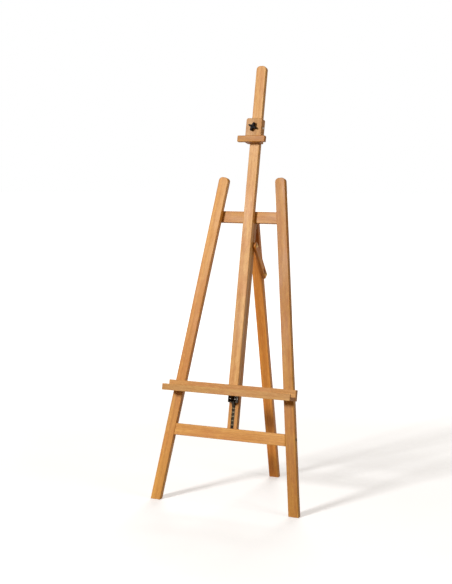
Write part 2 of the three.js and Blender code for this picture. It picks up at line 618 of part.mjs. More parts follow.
for (const side of [-1, 1]) {
  const hand = side < 0 ? 'left' : 'right';
  const yokeSeat = [side * (YOKE.inner + YOKE.thick + GAP), yokeScrewB, yokeScrewS];
  piece(leaning, `yoke_screw_${hand}`, screw(yokeSeat, [side, 0, 0], { length: 13 }), zincSteel);
  const housingSeat = [side * housingScrewX, MAST_BACK / 2, HOUSING.top - HOUSING.thick - GAP];
  const size = { head: 3.6, headHeight: 1.6, shank: 1.8, length: 20 };
  piece(leaning, `housing_screw_${hand}`, screw(housingSeat, [0, 0, -1], size), zincSteel);
}

// ---------------------------------------------------------------- the clamp's pieces
piece(leaning, 'clamp_block', clampBlock(), beech);
piece(leaning, 'clamp_ledge', clampLedge(), beech);
piece(leaning, 'clamp_stirrup', clampStirrup(), blackSteel);
piece(leaning, 'clamp_insert', clampInsert(), brass);
piece(leaning, 'clamp_knob', clampKnob(), blackPlastic);
piece(leaning, 'knob_stud',
  rod('b', CLAMP.front - 12, -0.4 - PAD.thick - GAP, [0, CLAMP_SCREW_S], STUD_RADIUS), zincSteel);
piece(leaning, 'pressure_pad',
  rod('b', -0.4 - PAD.thick, -0.4, [0, CLAMP_SCREW_S], PAD.radius, 16), blackPlastic);
for (const side of [-1, 1]) {
  const hand = side < 0 ? 'left' : 'right';
  const stirrupSeat = [side * (CLAMP.half + GAP), stirrupScrewB, CLAMP_SCREW_S];
  piece(leaning, `stirrup_screw_${hand}`, screw(stirrupSeat, [side, 0, 0], { length: 13.5 }), zincSteel);
  const ledgeSeat = [side * LEDGE_SCREW.x, -2.9, LEDGE_SCREW.s];
  const size = { head: 3.8, headHeight: 1.8, shank: 1.8, length: 34 };
  piece(leaning, `ledge_screw_${hand}`, screw(ledgeSeat, [0, 1, 0], size), zincSteel);
}

// ---------------------------------------------------------------- hinge, rear leg and stay pieces
const hingeOnFrame = new THREE.Group();
hingeOnFrame.position.set(0, HINGE.b, HINGE.s);
leaning.add(hingeOnFrame);
piece(hingeOnFrame, 'hinge_leaf_frame', hingeLeaf(1, frameKnuckles), brass);
piece(hingeOnFrame, 'hinge_pin', rod('x', -HINGE.half, HINGE.half, [0, 0], 1.6), brass);
piece(rearAxes, 'hinge_leaf_leg', hingeLeaf(-1, legKnuckles), brass);
piece(rearAxes, 'rear_leg', rearLeg(), beech);
for (const side of [-1, 1]) {
  const hand = side < 0 ? 'left' : 'right';
  const size = { head: 3.4, headHeight: 0.5, shank: 1.8, length: 14 };
  const leafBack = -HINGE.barrel - 0.2 + HINGE.leafThick;
  const onFrame = [side * HINGE_SCREW.x, leafBack + 0.1, HINGE_SCREW.offset];
  piece(hingeOnFrame, `hinge_screw_frame_${hand}`, screw(onFrame, [0, 1, 0], size), brass);
  const onLeg = [side * HINGE_SCREW.x, -HINGE.barrel - 0.3, -HINGE_SCREW.offset];
  piece(rearAxes, `hinge_screw_leg_${hand}`, screw(onLeg, [0, -1, 0], size), brass);
}

const stayOuter = STAY.x + STAY.thick;
const fastener = { head: 6, headHeight: 3.5, shank: PEG_RADIUS, length: stayOuter + 1.8 - halfWidth + 26 };
piece(stayAxes, 'stay', stay(), beech);
piece(stayAxes, 'stay_washer',
  washer(stayOuter + GAP, stayOuter + 1.5, [0, 0], 8, PEG_RADIUS + GAP), brass);
piece(stayAxes, 'stay_pivot_bolt', screw([stayOuter + 1.8, 0, 0], [1, 0, 0], fastener), brass);
piece(rearAxes, 'peg_washer',
  washer(stayOuter + GAP, stayOuter + 1.5, [pegY, -PEG_DROP], 8, PEG_RADIUS + GAP), brass);
piece(rearAxes, 'stay_peg', screw([stayOuter + 1.8, pegY, -PEG_DROP], [1, 0, 0], fastener), brass);

// ---------------------------------------------------------------- origin under the middle of the base
const rearFootBack = REAR_FOOT_Y + rearLegY[1] / Math.cos(rearAngle);
easel.position.y = -rearFootBack / 2;

export default easel;
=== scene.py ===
"""The looks of a folding wooden studio easel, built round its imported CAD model.

Lengths are in metres. Each piece is drawn in axes of its own: x across, y through its depth and z
along its grain or turning axis. Those axes, and the sizes, are read from the CAD node it replaces.
"""
import json
import math
import random

import bmesh
import bpy
import numpy as np
from mathutils import Matrix, Vector


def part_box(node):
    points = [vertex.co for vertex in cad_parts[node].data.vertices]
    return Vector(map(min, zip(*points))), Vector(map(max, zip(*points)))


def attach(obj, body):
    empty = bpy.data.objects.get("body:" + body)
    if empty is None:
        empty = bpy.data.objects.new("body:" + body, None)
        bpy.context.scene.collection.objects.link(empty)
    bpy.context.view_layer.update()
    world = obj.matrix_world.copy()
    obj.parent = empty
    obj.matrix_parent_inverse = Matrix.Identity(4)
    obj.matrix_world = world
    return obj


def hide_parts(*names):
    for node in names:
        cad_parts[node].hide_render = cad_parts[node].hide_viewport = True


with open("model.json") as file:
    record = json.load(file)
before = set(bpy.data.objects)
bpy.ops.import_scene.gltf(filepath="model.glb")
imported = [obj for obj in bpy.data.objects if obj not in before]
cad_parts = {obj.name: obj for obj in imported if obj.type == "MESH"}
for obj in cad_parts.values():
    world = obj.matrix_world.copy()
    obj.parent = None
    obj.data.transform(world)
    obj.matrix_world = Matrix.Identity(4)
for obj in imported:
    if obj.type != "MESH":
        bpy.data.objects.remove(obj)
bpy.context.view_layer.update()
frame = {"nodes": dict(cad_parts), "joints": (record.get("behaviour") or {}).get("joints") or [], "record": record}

MM = 0.001

# Sizes of the details that the CAD model leaves plain, and the play between pieces
EDGE_ROUND = 2.5 * MM            # long edges of the bars
TOP_ROUND = 17 * MM              # tops of the front legs and the mast
STRIP_ROUND = 1.6 * MM           # edges of the tray's strips
FOOT_ROUND = 1.2 * MM            # arris of a foot
METAL_ROUND = 0.35 * MM          # edges of cut and bent metal
BLOCK_ROUND = 2.2 * MM           # edges of the clamp's block
STAY_ROUND = 1.8 * MM            # edges of the stay
STRAP = 2 * MM                   # thickness of the bent straps
STRAP_BEND = 4 * MM              # outer radius of their bends
LEAF = 1.8 * MM                  # thickness of a hinge leaf
METAL_EDGE = 0.3 * MM            # finer edges, of the leaves, the rack's teeth and the pawl
KNUCKLE = 3.2 * MM               # outer radius of a hinge knuckle
HEAD_POCKET = 0.8 * MM           # room round a bolt's head in its pocket
BOLT_BORE = 3.3 * MM             # radius of the holes that the bolts and the knob's stud go into
KNOB_BORE = 5.8 * MM             # radius of the hole for the clamp's threaded insert
STAY_SLOT = 5.6 * MM             # half width of the stay's slot
FIT_GAP = 0.3 * MM               # play between a piece and the groove, slot or hole that it sits in
SAW_WASTE = 20 * MM              # how far a bar is drawn past its foot before it is cut level
PAST = 20 * MM                   # how far a cutting tool runs past the piece that it cuts
CORNER_STEPS = 12                # faces round a quarter turn of a large corner
TURN_STEPS = 40                  # faces round a large turned piece

# How each board's colour differs from the common beech colour, as factors on red, green and blue: partly the
# board's own tone and partly painted light and shade, such as a painted sheen that makes the mast paler.
BOARD_TINT_AND_PAINTED_LIGHT = {
    "mast": (0.99, 1.11, 1.93),
    "centre_rail": (0.86, 0.82, 0.95),
    "front_leg_left": (0.98, 0.97, 1.05),
    "front_leg_right": (0.74, 0.68, 0.47),
    "top_crossbar": (0.79, 0.72, 0.44),
    "lower_crossbar": (0.99, 1.00, 1.28),
    "rear_leg": (1.00, 0.86, 0.92),
    "stay": (1.05, 0.88, 0.62),
    "tray_board": (0.90, 0.97, 1.45),
    "tray_shelf": (0.90, 0.93, 1.25),
    "tray_lip": (0.82, 0.91, 1.39),
    "clamp_block": (0.78, 0.84, 1.18),
    "clamp_ledge": (0.72, 0.67, 0.46),
}
UNTINTED = (1.0, 1.0, 1.0)

JOINTS = {joint["name"]: joint for joint in frame["joints"]}
BODY = {node: body for body, nodes in frame["record"]["behaviour"]["bodies"].items() for node in nodes}
SLOT = {part["node"]: part["material_slot"] for part in frame["record"]["subparts"]}


# ------------------------------------------------------------------ reading the frame
def points_of(node):
    """A node's distinct vertices, in the row frame."""
    data = frame["nodes"][node].data
    points = np.empty(len(data.vertices) * 3)
    data.vertices.foreach_get("co", points)
    return np.unique(points.reshape(-1, 3).round(7), axis=0)


def axes_from(x, y, z, origin=(0, 0, 0)):
    """The matrix from axes with these directions and this origin to the row frame."""
    rotation = Matrix((x, y, z)).transposed()
    return Matrix.Translation(origin) @ rotation.to_4x4()


def extent(node, axes):
    """A node's lowest and highest corner in the given axes."""
    points = points_of(node)
    inverse = np.array(axes.inverted())
    local = points @ inverse[:3, :3].T + inverse[:3, 3]
    return Vector(local.min(0)), Vector(local.max(0))


def bar_axes(node, depth_hint=(0, 1, 0), grain_hint=(0, 0, 1)):
    """The axes of a bar, from its two largest kinds of face, centred on it, and its half sizes."""
    faces = sorted(frame["nodes"][node].data.polygons, key=lambda face: -face.area)
    first = faces[0].normal.copy()
    second = next(face.normal.copy() for face in faces if abs(face.normal.dot(first)) < 0.02)
    grain = first.cross(second).normalized()
    depth = max((first, second), key=lambda normal: abs(normal.dot(Vector(depth_hint))))
    grain = grain if grain.dot(Vector(grain_hint)) > 0 else -grain
    depth = depth if depth.dot(Vector(depth_hint)) > 0 else -depth
    axes = axes_from(depth.cross(grain), depth, grain)
    low, high = extent(node, axes)
    centred = axes @ Matrix.Translation((low + high) / 2)
    return centred, (high - low) / 2


def turned_axes(node):
    """The axes of a turned piece, z along its axis towards its head, with the origin at its tip."""
    points = points_of(node)
    centre = points.mean(0)
    values, vectors = np.linalg.eigh(np.cov((points - centre).T))
    odd_one = 2 if values[2] - values[1] > values[1] - values[0] else 0
    axis = vectors[:, odd_one]
    along = (points - centre) @ axis
    radius = np.linalg.norm(points - centre - np.outer(along, axis), axis=1)
    widest = along[radius > 0.98 * radius.max()].mean()
    if widest < (along.min() + along.max()) / 2:
        axis, along = -axis, -along
    z = Vector(axis)
    x = z.orthogonal().normalized()
    tip = Vector(centre) + z * float(along.min())
    rim = along[radius > 0.98 * radius.max()]
    shank = radius[along < rim.min() - 1e-5]
    sizes = {
        "length": float(along.max() - along.min()),
        "radius": float(radius.max()),
        "seat": float(rim.min() - along.min()),
        "shank": float(shank.max()) if len(shank) else float(radius.max()),
    }
    return axes_from(x, z.cross(x), z, tip), sizes


# The axes of the leaning frame: z up the mast and y towards the back
lean_axis = Vector(JOINTS["mast_slide"]["axis"]).normalized()
lean_depth = Vector((1, 0, 0)).cross(lean_axis) * -1
FLOOR_EDGE = Vector((0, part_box("front_leg_left")[0].y, 0))
LEANING = axes_from((1, 0, 0), lean_depth, lean_axis, FLOOR_EDGE)


# ------------------------------------------------------------------ mesh building
def mesh_of(bm, name):
    """Turns a bmesh into a mesh with its faces pointing out, and frees the bmesh."""
    bmesh.ops.recalc_face_normals(bm, faces=bm.faces)
    mesh = bpy.data.meshes.new(name)
    bm.to_mesh(mesh)
    bm.free()
    return mesh


def rounded_outline(x0, x1, z0, z1, low=0.0, high=0.0, steps=CORNER_STEPS):
    """A rectangle in x and z, counter-clockwise, with its lower and its upper corners rounded."""
    corners = [(x0, z0, low, 180), (x1, z0, low, 270), (x1, z1, high, 0), (x0, z1, high, 90)]
    outline = []
    for x, z, radius, start in corners:
        inward = (radius if x == x0 else -radius, radius if z == z0 else -radius)
        turns = [0] if radius == 0 else range(steps + 1)
        for i in turns:
            angle = math.radians(start + 90 * i / steps)
            outline.append((x + inward[0] + radius * math.cos(angle),
                            z + inward[1] + radius * math.sin(angle)))
    return outline


def prism(outline, y0, y1, edge=0.0, segments=4):
    """Extrudes an outline in x and z from y0 to y1 and rounds the edges of its two faces."""
    bm = bmesh.new()
    front = [bm.verts.new((x, y0, z)) for x, z in outline]
    back = [bm.verts.new((x, y1, z)) for x, z in outline]
    bm.faces.new(front)
    bm.faces.new(back[::-1])
    for i in range(len(outline)):
        j = (i + 1) % len(outline)
        bm.faces.new((front[j], front[i], back[i], back[j]))
    bm.normal_update()
    if edge > 0:
        rims = [e for e in bm.edges if abs(e.verts[0].co.y - e.verts[1].co.y) < 1e-7]
        bmesh.ops.bevel(bm, geom=rims, offset=edge, segments=segments, profile=0.5, affect="EDGES")
    return bm


def eased_profile(radius, start, end, ease, bore=0.0):
    """A round bar's or a ring's profile for the lathe, with its outer edges chamfered."""
    return [(bore, start), (radius - ease, start), (radius, start + ease), (radius, end - ease),
            (radius - ease, end), (bore, end)]


def lathe(profile, steps=TURN_STEPS):
    """Turns a profile of (radius, z) about z. It starts and ends on the axis, or closes on itself."""
    bm = bmesh.new()
    rings = []
    for radius, z in profile:
        if radius < 1e-9:
            rings.append([bm.verts.new((0, 0, z))])
            continue
        angles = [2 * math.pi * i / steps for i in range(steps)]
        rings.append([bm.verts.new((radius * math.cos(a), radius * math.sin(a), z)) for a in angles])
    closed = len(rings[0]) > 1
    pairs = zip(rings, rings[1:] + rings[:1]) if closed else zip(rings, rings[1:])
    for lower, upper in pairs:
        for i in range(steps):
            j = (i + 1) % steps
            if len(lower) == 1:
                bm.faces.new((lower[0], upper[j], upper[i]))
            elif len(upper) == 1:
                bm.faces.new((lower[i], lower[j], upper[0]))
            else:
                bm.faces.new((lower[i], lower[j], upper[j], upper[i]))
    return bm


def loft(loops):
    """Skins closed loops of the same count, and caps the first and the last."""
    bm = bmesh.new()
    rows = [[bm.verts.new(point) for point in loop] for loop in loops]
    for lower, upper in zip(rows, rows[1:]):
        for i in range(len(lower)):
            j = (i + 1) % len(lower)
            bm.faces.new((lower[i], lower[j], upper[j], upper[i]))
    bm.faces.new(rows[0][::-1])
    bm.faces.new(rows[-1])
    return bm


def sweep(path, radius):
    """A round wire along a path of points."""
    sides = 10
    path = [Vector(point) for point in path]
    loops = []
    normal = (path[1] - path[0]).orthogonal().normalized()
    for i, point in enumerate(path):
        ahead, behind = path[min(i + 1, len(path) - 1)], path[max(i - 1, 0)]
        tangent = (ahead - behind).normalized()
        normal = (normal - tangent * normal.dot(tangent)).normalized()
        other = tangent.cross(normal)
        turns = [2 * math.pi * k / sides for k in range(sides)]
        loops.append([point + radius * (math.cos(a) * normal + math.sin(a) * other) for a in turns])
    return loft(loops)


def block(low, high):
    """A plain box, for cutting."""
    bm = bmesh.new()
    bmesh.ops.create_cube(bm, size=1)
    size = Vector(high) - Vector(low)
    bmesh.ops.transform(bm, matrix=Matrix.Diagonal((*size, 1)), verts=bm.verts)
    bmesh.ops.translate(bm, vec=(Vector(low) + Vector(high)) / 2, verts=bm.verts)
    return bm


def placed(bm, matrix):
    """Moves a bmesh by a matrix, and gives it back."""
    bmesh.ops.transform(bm, matrix=matrix, verts=bm.verts)
    return bm


def combine(base, tools, operation):
    """Cuts the tools from the base mesh, or joins them to it. All are bmeshes in the same axes."""
    body = bpy.data.objects.new("base", mesh_of(base, "base"))
    bpy.context.scene.collection.objects.link(body)
    made = [body]
    for tool in tools:
        cutter = bpy.data.objects.new("tool", mesh_of(tool, "tool"))
        bpy.context.scene.collection.objects.link(cutter)
        made.append(cutter)
        modifier = body.modifiers.new("combine", "BOOLEAN")
        modifier.operation = operation
        modifier.solver = "EXACT"
        modifier.object = cutter
    graph = bpy.context.evaluated_depsgraph_get()
    result = bmesh.new()
    evaluated = body.evaluated_get(graph)
    result.from_mesh(evaluated.to_mesh())
    evaluated.to_mesh_clear()
    for item in made:
        data = item.data
        bpy.data.objects.remove(item)
        bpy.data.meshes.remove(data)
    return result


def cut(base, *tools):
    return combine(base, tools, "DIFFERENCE")


def join(base, *others):
    return combine(base, others, "UNION")


def soften(bm, width, segments=2, angle=30):
    """Rounds every edge that turns by more than the angle."""
    sharp = [e for e in bm.edges if len(e.link_faces) == 2 and e.calc_face_angle() > math.radians(angle)]
    bmesh.ops.bevel(bm, geom=sharp, offset=width, segments=segments, profile=0.5, affect="EDGES",
                    clamp_overlap=True)
    return bm


def copy_of(node, axes):
    """A node's CAD mesh in the given axes, with its flat faces whole again."""
    bm = bmesh.new()
    bm.from_mesh(frame["nodes"][node].data)
    bmesh.ops.transform(bm, matrix=axes.inverted(), verts=bm.verts)
    bmesh.ops.remove_doubles(bm, verts=bm.verts, dist=0.005 * MM)
    bmesh.ops.dissolve_limit(bm, angle_limit=math.radians(1), verts=bm.verts, edges=bm.edges)
    return bm


def mark_surface(mesh, node, rubbed):
    """Stores each vertex's place in the timber it was sawn from, its board's tint, which is partly its own tone
    and partly painted light and shade, which faces show end grain, and which are rubbed bright."""
    draw = random.Random(node)
    turn = draw.uniform(0, 2 * math.pi)
    from_pith = draw.uniform(55, 130) * MM
    offset = np.array([from_pith * math.cos(turn), from_pith * math.sin(turn), draw.uniform(0, 40)])
    points = np.empty(len(mesh.vertices) * 3)
    mesh.vertices.foreach_get("co", points)
    grain = mesh.attributes.new("grain", "FLOAT_VECTOR", "POINT")
    grain.data.foreach_set("vector", (points.reshape(-1, 3) + offset).astype(np.float32).ravel())
    ends = np.array([abs(face.normal.z) ** 3 for face in mesh.polygons], np.float32)
    mesh.attributes.new("end_grain", "FLOAT", "FACE").data.foreach_set("value", ends)
    # The board's tint: partly its own tone, partly painted light and shade.
    tint_and_painted_light = np.tile(BOARD_TINT_AND_PAINTED_LIGHT.get(node, UNTINTED), len(mesh.vertices)).astype(np.float32)
    mesh.attributes.new("tint_and_painted_light", "FLOAT_VECTOR", "POINT").data.foreach_set("vector", tint_and_painted_light)
    bright = np.array([1.0 if rubbed(face) else 0.0 for face in mesh.polygons], np.float32)
    mesh.attributes.new("rubbed", "FLOAT", "FACE").data.foreach_set("value", bright)


def never(face):
    """For a piece with no face rubbed bright."""
    return False


def piece(node, bm, axes, crease=35, rubbed=never):
    """Sets a finished mesh in place of a CAD node, on its body and in its material slot."""
    mesh = mesh_of(bm, node + "_fine")
    mark_surface(mesh, node, rubbed)
    mesh.transform(axes)
    mesh.shade_smooth()
    mesh.set_sharp_from_angle(angle=math.radians(crease))
    mesh.materials.append(MATERIALS[SLOT[node]])
    obj = bpy.data.objects.new(node + "_fine", mesh)
    bpy.context.scene.collection.objects.link(obj)
    weighted = obj.modifiers.new("weighted", "WEIGHTED_NORMAL")
    weighted.keep_sharp = True
    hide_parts(node)
    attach(obj, BODY[node])


# ------------------------------------------------------------------ materials
class Nodes:
    """A material's node tree, built one node at a time."""

    def __init__(self, name):
        self.material = bpy.data.materials.new(name)
        self.material.use_nodes = True
        self.tree = self.material.node_tree
        self.shader = self.tree.nodes["Principled BSDF"]

    def add(self, kind, inputs=None, **settings):
        node = self.tree.nodes.new("ShaderNode" + kind)
        for key, value in settings.items():
            setattr(node, key, value)
        for key, value in (inputs or {}).items():
            if isinstance(value, bpy.types.NodeSocket):
                self.tree.links.new(value, node.inputs[key])
            else:
                node.inputs[key].default_value = value
        return node

    def attribute(self, name, output):
        return self.add("Attribute", attribute_name=name).outputs[output]

    def math(self, operation, a, b=0.0, clamp=False):
        return self.add("Math", {0: a, 1: b}, operation=operation, use_clamp=clamp).outputs[0]

    def stretch(self, vector, scale):
        inputs = {0: vector, 1: scale}
        return self.add("VectorMath", inputs, operation="MULTIPLY").outputs[0]

    def noise(self, vector, detail=2.0, roughness=0.5):
        inputs = {"Vector": vector, "Scale": 1.0, "Detail": detail, "Roughness": roughness}
        return self.add("TexNoise", inputs).outputs["Fac"]

    def ramp(self, value, low, high, out_low=0.0, out_high=1.0):
        """Maps low to high onto out_low to out_high, and holds the ends."""
        inputs = {"Value": value, "From Min": low, "From Max": high, "To Min": out_low, "To Max": out_high}
        return self.add("MapRange", inputs, clamp=True, interpolation_type="SMOOTHSTEP").outputs[0]

    def mix(self, factor, a, b, blend="MIX"):
        node = self.add("Mix", {0: factor, 6: a, 7: b}, data_type="RGBA", blend_type=blend)
        return node.outputs[2]

    def edge_wear(self, radius):
        """1 on edges, 0 on flat faces."""
        bevel = self.add("Bevel", {"Radius": radius}, samples=6).outputs[0]
        normal = self.add("NewGeometry").outputs["Normal"]
        same = self.add("VectorMath", {0: bevel, 1: normal}, operation="DOT_PRODUCT").outputs["Value"]
        return self.ramp(same, 0.995, 0.86)

    def bump(self, height, distance, strength):
        inputs = {"Height": height, "Distance": distance, "Strength": strength}
        return self.add("Bump", inputs).outputs[0]

    def set(self, **inputs):
        for key, value in inputs.items():
            socket = self.shader.inputs[key.replace("_", " ")]
            if isinstance(value, bpy.types.NodeSocket):
                self.tree.links.new(value, socket)
            else:
                socket.default_value = value
        return self.material


def rgba(red, green, blue):
    """An opaque colour, in linear light."""
    return (red, green, blue, 1.0)


def oiled_beech():
    """Steam-treated beech under oil: faint growth rings, straight fibres and short dark ray flecks."""
    n = Nodes("oiled_beech")
    place = n.attribute("grain", "Vector")
    ring_width, ring_drift = 0.0042, 0.03
    drift = n.noise(n.stretch(place, (7, 7, 0.9)), 2)
    shift = n.math("MULTIPLY", n.math("SUBTRACT", drift, 0.5), ring_drift)
    xyz = n.add("SeparateXYZ", {0: place}).outputs
    x = n.math("ADD", xyz[0], shift)
    radius = n.math("SQRT", n.math("ADD", n.math("POWER", x, 2.0), n.math("POWER", xyz[1], 2.0)))
    ring = n.math("FRACT", n.math("ADD", n.math("MULTIPLY", radius, 1 / ring_width), drift))
    late_wood = n.math("MULTIPLY", n.ramp(ring, 0.35, 0.92), n.ramp(ring, 1.0, 0.95))
    bands = n.noise(n.stretch(place, (48, 48, 1.6)), 3, 0.6)
    clouds = n.noise(n.stretch(place, (16, 16, 6)), 2, 0.5)
    mottle = n.noise(n.stretch(place, (190, 190, 42)), 3, 0.65)
    fibres = n.noise(n.stretch(place, (850, 850, 11)), 3, 0.7)
    cells = n.add("TexVoronoi", {"Vector": n.stretch(place, (720, 720, 150)), "Scale": 1.0})
    fleck_share = n.ramp(n.noise(n.stretch(place, (60, 60, 14)), 1), 0.36, 0.58)
    flecks = n.math("MULTIPLY", n.ramp(cells.outputs["Distance"], 0.3, 0.14), fleck_share)

    light_band, deep_band = rgba(0.73, 0.360, 0.062), rgba(0.52, 0.205, 0.026)
    rosy_cloud = rgba(0.56, 0.190, 0.030)
    dark_mottle, pale_mottle = rgba(0.37, 0.128, 0.016), rgba(0.80, 0.460, 0.105)
    ring_line = rgba(0.36, 0.135, 0.018)
    dark_fibre, pale_fibre = rgba(0.36, 0.145, 0.020), rgba(0.84, 0.50, 0.13)
    fleck_brown = rgba(0.17, 0.056, 0.014)
    honey = n.mix(n.ramp(bands, 0.3, 0.72), light_band, deep_band)
    honey = n.mix(n.ramp(clouds, 0.42, 0.68, 0.0, 0.55), honey, rosy_cloud)
    honey = n.mix(n.ramp(mottle, 0.5, 0.78, 0.0, 0.6), honey, dark_mottle)
    honey = n.mix(n.ramp(mottle, 0.5, 0.24, 0.0, 0.5), honey, pale_mottle)
    honey = n.mix(n.math("MULTIPLY", late_wood, 0.32), honey, ring_line)
    honey = n.mix(n.ramp(fibres, 0.42, 0.75, 0.0, 0.35), honey, dark_fibre)
    honey = n.mix(n.ramp(fibres, 0.5, 0.25, 0.0, 0.25), honey, pale_fibre)
    honey = n.mix(n.math("MULTIPLY", flecks, 0.55), honey, fleck_brown)
    # Multiplies in each board's tint: partly its own tone, partly painted light and shade.
    honey = n.mix(1.0, honey, n.attribute("tint_and_painted_light", "Vector"), "MULTIPLY")

    wear = n.edge_wear(2.2 * MM)
    patches = n.ramp(n.noise(n.stretch(place, (70, 70, 18)), 3, 0.65), 0.42, 0.66)
    worn = n.math("MULTIPLY", wear, patches)
    rubbed_edge = rgba(0.74, 0.42, 0.18)
    honey = n.mix(n.math("MULTIPLY", worn, 0.45), honey, rubbed_edge)
    end_grain = n.attribute("end_grain", "Fac")
    pores = n.noise(n.stretch(place, (1500, 1500, 40)), 2, 0.6)
    end_light, end_pore = rgba(0.36, 0.14, 0.04), rgba(0.22, 0.078, 0.022)
    end_colour = n.mix(n.ramp(pores, 0.4, 0.62), end_light, end_pore)
    colour = n.mix(n.math("MULTIPLY", end_grain, 0.6), honey, end_colour)

    gloss = n.ramp(n.noise(n.stretch(place, (22, 22, 5)), 3, 0.6), 0.3, 0.7, 0.38, 0.52)
    gloss = n.math("ADD", gloss, n.math("MULTIPLY", fibres, 0.08))
    gloss = n.math("ADD", gloss, n.math("MULTIPLY", end_grain, 0.16), clamp=True)
    height = n.math("SUBTRACT", n.math("MULTIPLY", fibres, 0.55), n.math("MULTIPLY", flecks, 0.6))
    height = n.math("SUBTRACT", height, n.math("MULTIPLY", late_wood, 0.12))
    normal = n.bump(height, 0.09 * MM, 0.6)
    return n.set(Base_Color=colour, Roughness=gloss, Normal=normal, Specular_IOR_Level=0.24,
                 Coat_Weight=0.05, Coat_Roughness=0.3)


def black_steel():
    """Chemically blackened steel, rubbed bright on its edges."""
    n = Nodes("black_steel")
    place = n.attribute("grain", "Vector")
    mottle = n.noise(n.stretch(place, (260, 260, 260)), 4, 0.6)
    blotch = n.noise(n.stretch(place, (60, 60, 60)), 2, 0.5)
    blacking, thin_blacking = rgba(0.030, 0.025, 0.019), rgba(0.056, 0.045, 0.030)
    bare_steel = rgba(0.19, 0.145, 0.078)
    base = n.mix(n.ramp(mottle, 0.35, 0.65), blacking, thin_blacking)
    wear = n.edge_wear(0.5 * MM)
    edges = n.math("MULTIPLY", wear, n.ramp(blotch, 0.4, 0.6, 0.25, 1.0))
    faces = n.math("MULTIPLY", n.attribute("rubbed", "Fac"), n.ramp(mottle, 0.3, 0.6, 0.5, 1.0))
    bare = n.math("MAXIMUM", edges, faces)
    colour = n.mix(n.math("MULTIPLY", bare, 0.85), base, bare_steel)
    rough = n.ramp(mottle, 0.3, 0.7, 0.36, 0.52)
    scratches = n.noise(n.stretch(place, (1800, 90, 1800)), 2, 0.5)
    normal = n.bump(n.math("ADD", mottle, n.math("MULTIPLY", scratches, 0.5)), 0.03 * MM, 0.5)
    return n.set(Base_Color=colour, Metallic=0.9, Roughness=rough, Normal=normal)


def zinc_steel():
    """Bright zinc plate with a faint warm bloom."""
    n = Nodes("zinc_steel")
    place = n.attribute("grain", "Vector")
    bloom = n.noise(n.stretch(place, (420, 420, 420)), 4, 0.6)
    clean, bloomed = rgba(0.64, 0.63, 0.60), rgba(0.50, 0.47, 0.40)
    colour = n.mix(n.ramp(bloom, 0.35, 0.65), clean, bloomed)
    rough = n.ramp(bloom, 0.3, 0.7, 0.24, 0.4)
    turning = n.noise(n.stretch(place, (300, 300, 4200)), 1)
    normal = n.bump(n.math("ADD", bloom, turning), 0.012 * MM, 0.5)
    return n.set(Base_Color=colour, Metallic=1.0, Roughness=rough, Normal=normal)


def brass():
    """Brass plate, brushed and lightly tarnished away from its edges."""
    n = Nodes("brass")
    place = n.attribute("grain", "Vector")
    tarnish = n.noise(n.stretch(place, (190, 190, 190)), 4, 0.6)
    clean, tarnished, polished = rgba(0.74, 0.53, 0.22), rgba(0.42, 0.27, 0.10), rgba(0.86, 0.68, 0.36)
    base = n.mix(n.ramp(tarnish, 0.35, 0.7), clean, tarnished)
    wear = n.edge_wear(0.4 * MM)
    colour = n.mix(n.math("MULTIPLY", wear, 0.6), base, polished)
    brushing = n.noise(n.stretch(place, (120, 2600, 2600)), 2, 0.5)
    rough = n.math("ADD", n.ramp(tarnish, 0.3, 0.7, 0.26, 0.42), n.math("MULTIPLY", brushing, 0.06))
    normal = n.bump(brushing, 0.012 * MM, 0.5)
    return n.set(Base_Color=colour, Metallic=1.0, Roughness=rough, Normal=normal)


def black_plastic():
    """Moulded black plastic with a fine spark texture."""
    n = Nodes("black_plastic")
    place = n.attribute("grain", "Vector")
    spark = n.noise(n.stretch(place, (1500, 1500, 1500)), 2, 0.5)
    dust = n.noise(n.stretch(place, (130, 130, 130)), 3, 0.6)
    wear = n.edge_wear(0.9 * MM)
    black, dusty, worn = rgba(0.005, 0.003, 0.003), rgba(0.012, 0.009, 0.008), rgba(0.035, 0.030, 0.027)
    base = n.mix(n.ramp(dust, 0.45, 0.75, 0.0, 0.5), black, dusty)
    colour = n.mix(n.math("MULTIPLY", wear, 0.3), base, worn)
    rough = n.ramp(dust, 0.3, 0.7, 0.42, 0.56)
    normal = n.bump(spark, 0.03 * MM, 0.35)
    return n.set(Base_Color=colour, Roughness=rough, Normal=normal, Specular_IOR_Level=0.07)


MATERIALS = {
    "oiled_beech": oiled_beech(),
    "black_steel": black_steel(),
    "zinc_steel": zinc_steel(),
    "brass": brass(),
    "black_plastic": black_plastic(),
}


# ------------------------------------------------------------------ wooden bars
def level_cut(bm, axes):
    """Cuts a bar off level with the floor and eases the foot's arris."""
    inverse = axes.inverted()
    at = inverse @ Vector((0, 0, 0))
    down = (inverse.to_3x3() @ Vector((0, 0, -1))).normalized()
    geometry = bm.verts[:] + bm.edges[:] + bm.faces[:]
    found = bmesh.ops.bisect_plane(bm, geom=geometry, plane_co=at, plane_no=down, clear_outer=True)
    rim = [item for item in found["geom_cut"] if isinstance(item, bmesh.types.BMEdge)]
    foot = bmesh.ops.contextual_create(bm, geom=rim)["faces"]
    arris = [edge for face in foot for edge in face.edges]
    bmesh.ops.bevel(bm, geom=arris, offset=FOOT_ROUND, segments=2, profile=0.5, affect="EDGES")
    return bm


def bolt_recess(bolt, axes):
    """A round pocket for a bolt's head, in the bar's axes."""
    at, sizes = turned_axes(bolt)
    radius = sizes["radius"] + HEAD_POCKET
    seat = sizes["seat"] - FIT_GAP
    top = seat + 30 * MM
    tool = lathe([(0, seat), (radius, seat), (radius, top), (0, top)])
    return placed(tool, axes.inverted() @ at)


def front_legs():
    """Two splayed bars with round tops, cut level at the foot and pocketed for a bolt's head."""
    for hand in ("left", "right"):
        node = f"front_leg_{hand}"
        axes, half = bar_axes(node)
        outline = rounded_outline(-half.x, half.x, -half.z - SAW_WASTE, half.z, 0, TOP_ROUND)
        leg = level_cut(prism(outline, -half.y, half.y, EDGE_ROUND), axes)
        piece(node, cut(leg, bolt_recess(f"crossbar_bolt_{hand}", axes)), axes)


